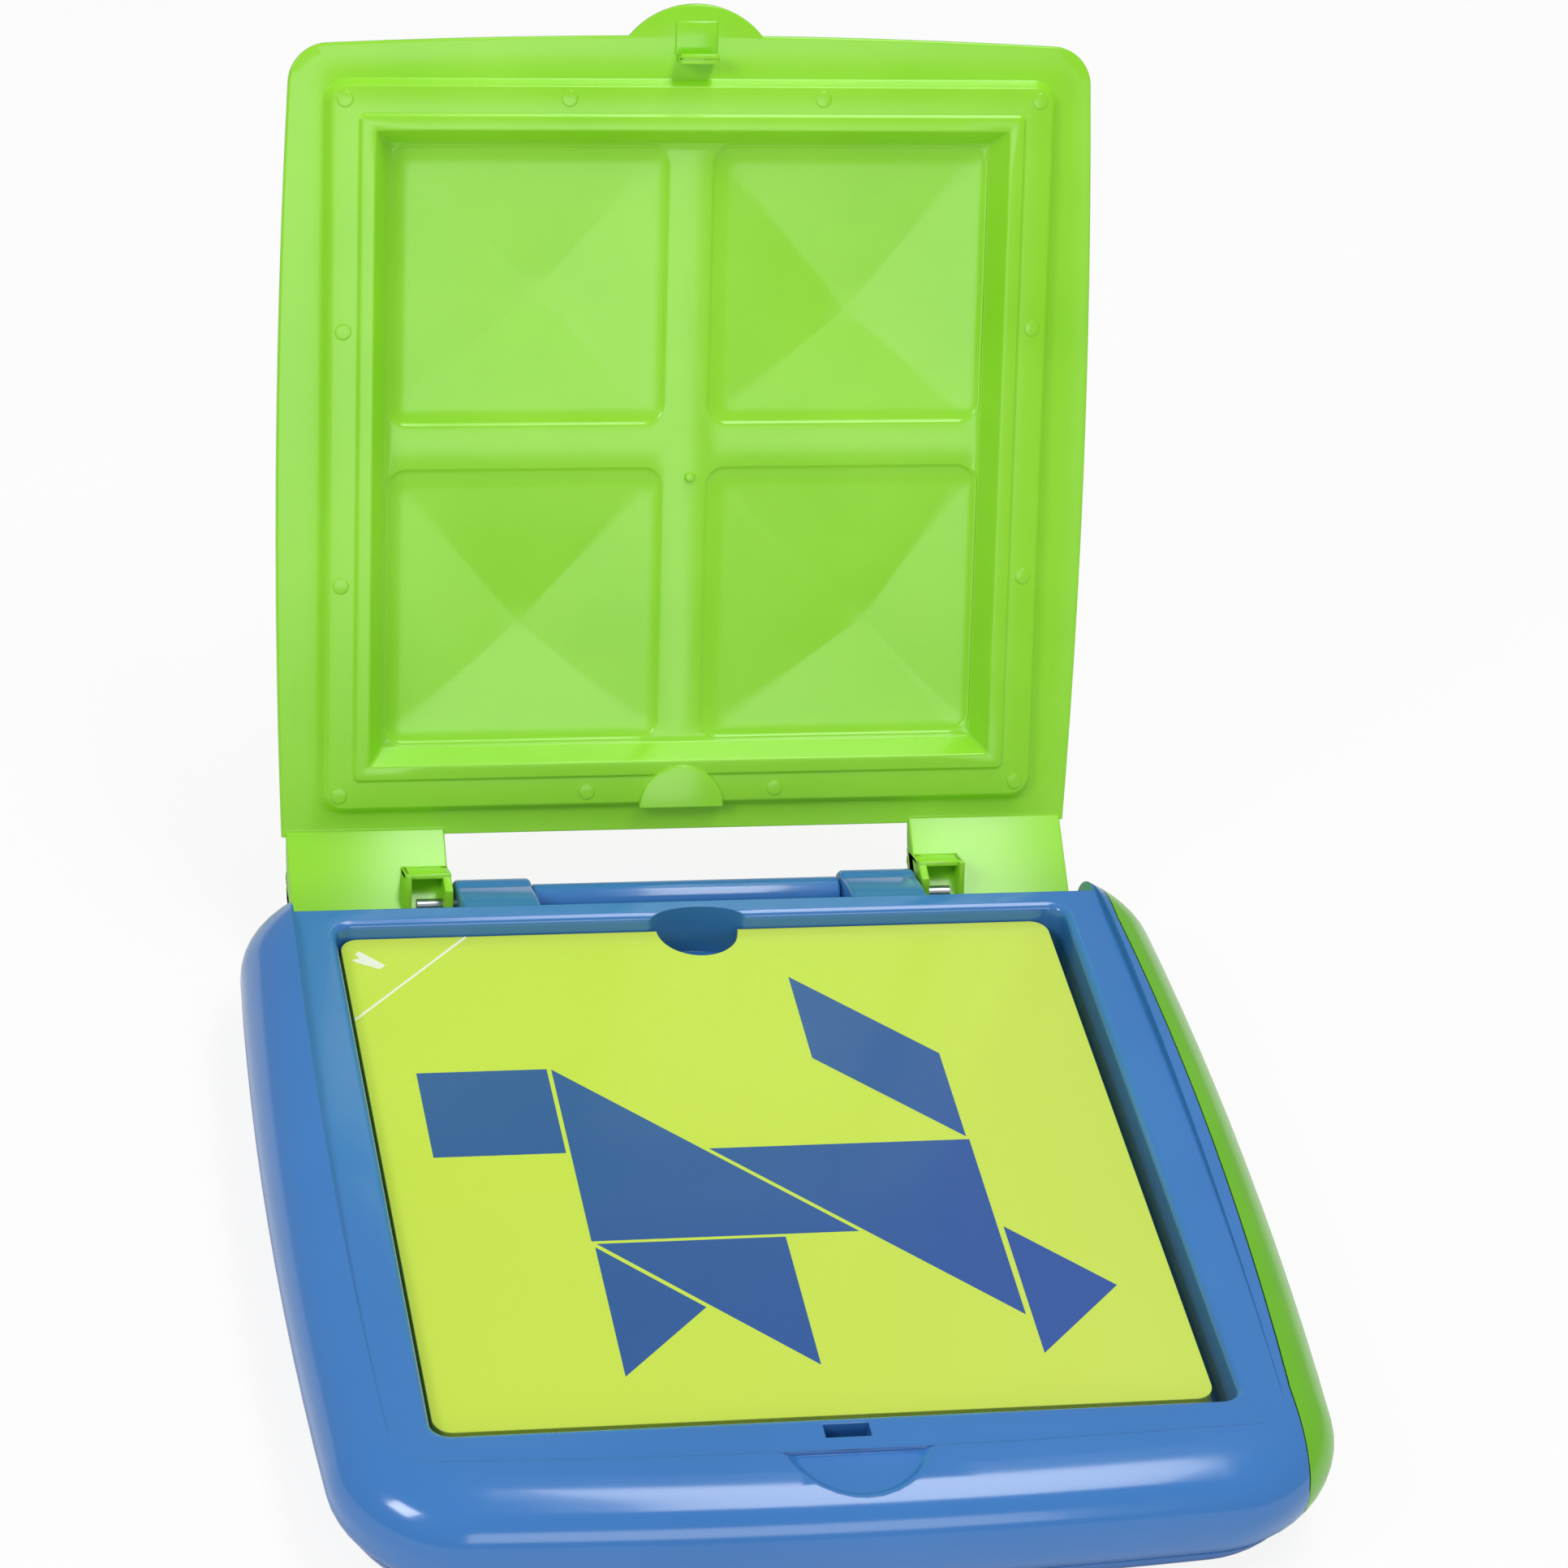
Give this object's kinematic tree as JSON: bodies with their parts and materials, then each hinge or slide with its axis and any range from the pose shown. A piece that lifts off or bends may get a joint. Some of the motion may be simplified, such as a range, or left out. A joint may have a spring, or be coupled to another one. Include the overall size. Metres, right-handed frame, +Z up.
{
  "type": "tangram game case",
  "caption": "Travel tangram game in a pillow-shaped plastic carry case with a hinged lid, puzzle cards in a square well, a side drawer of magnetic pieces and a handle bar.",
  "frame": {"origin": "on the flat underside of the case, below the middle of the card well", "axes": "+X to the right (the drawer side), +Y to the hinge and handle side, +Z up"},
  "size_m": [0.264, 0.3752, 0.2489],
  "materials": {
    "blue_plastic": "glossy moulded blue",
    "green_lid_plastic": "glossy bright green, slightly translucent",
    "green_drawer_plastic": "glossy green",
    "card_board": "varnished print",
    "piece_plastic": "satin blue",
    "magnet": "dark ferrite",
    "steel_sheet": "zinc-plated sheet",
    "steel_pin": "zinc-plated"
  },
  "bodies": {
    "case_base": {"base_top_shell": "blue_plastic", "base_bottom_shell": "blue_plastic", "play_sheet": "steel_sheet", "handle_bar": "blue_plastic", "hinge_pin_left": "steel_pin", "hinge_pin_right": "steel_pin", "case_screw_1": "steel_pin", "case_screw_2": "steel_pin", "case_screw_3": "steel_pin", "case_screw_4": "steel_pin", "case_screw_5": "steel_pin", "case_screw_6": "steel_pin"},
    "card_deck": {"puzzle_card_01": "card_board", "puzzle_card_02": "card_board", "puzzle_card_03": "card_board", "puzzle_card_04": "card_board", "puzzle_card_05": "card_board", "puzzle_card_06": "card_board", "puzzle_card_07": "card_board", "puzzle_card_08": "card_board", "puzzle_card_09": "card_board", "puzzle_card_10": "card_board", "puzzle_card_11": "card_board"},
    "top_card": {"puzzle_card_12": "card_board"},
    "drawer": {"storage_drawer": "green_drawer_plastic", "tangram_large_triangle_a": "piece_plastic", "tangram_large_triangle_b": "piece_plastic", "tangram_medium_triangle": "piece_plastic", "tangram_small_triangle_a": "piece_plastic", "tangram_small_triangle_b": "piece_plastic", "tangram_square_piece": "piece_plastic", "tangram_parallelogram": "piece_plastic", "magnet_large_triangle_a": "magnet", "magnet_large_triangle_b": "magnet", "magnet_medium_triangle": "magnet", "magnet_small_triangle_a": "magnet", "magnet_small_triangle_b": "magnet", "magnet_square_piece": "magnet", "magnet_parallelogram": "magnet"},
    "lid": {"lid": "green_lid_plastic"}
  },
  "joints": [
    {"name": "lid_hinge", "type": "hinge", "parent": "case_base", "child": "lid", "pos_m": [0, 0.1269, 0.0225], "axis": [1, 0, 0], "range_deg": [0, 112.4]},
    {"name": "drawer_slide", "type": "slide", "parent": "case_base", "child": "drawer", "axis": [1, 0, 0], "range_m": [0, 0.17]},
    {"name": "deck_lift", "type": "slide", "parent": "case_base", "child": "card_deck", "axis": [0, 0, 1], "range_m": [0, 0.04]},
    {"name": "top_card_lift", "type": "slide", "parent": "card_deck", "child": "top_card", "axis": [0, 0, 1], "range_m": [0, 0.04]}
  ]
}
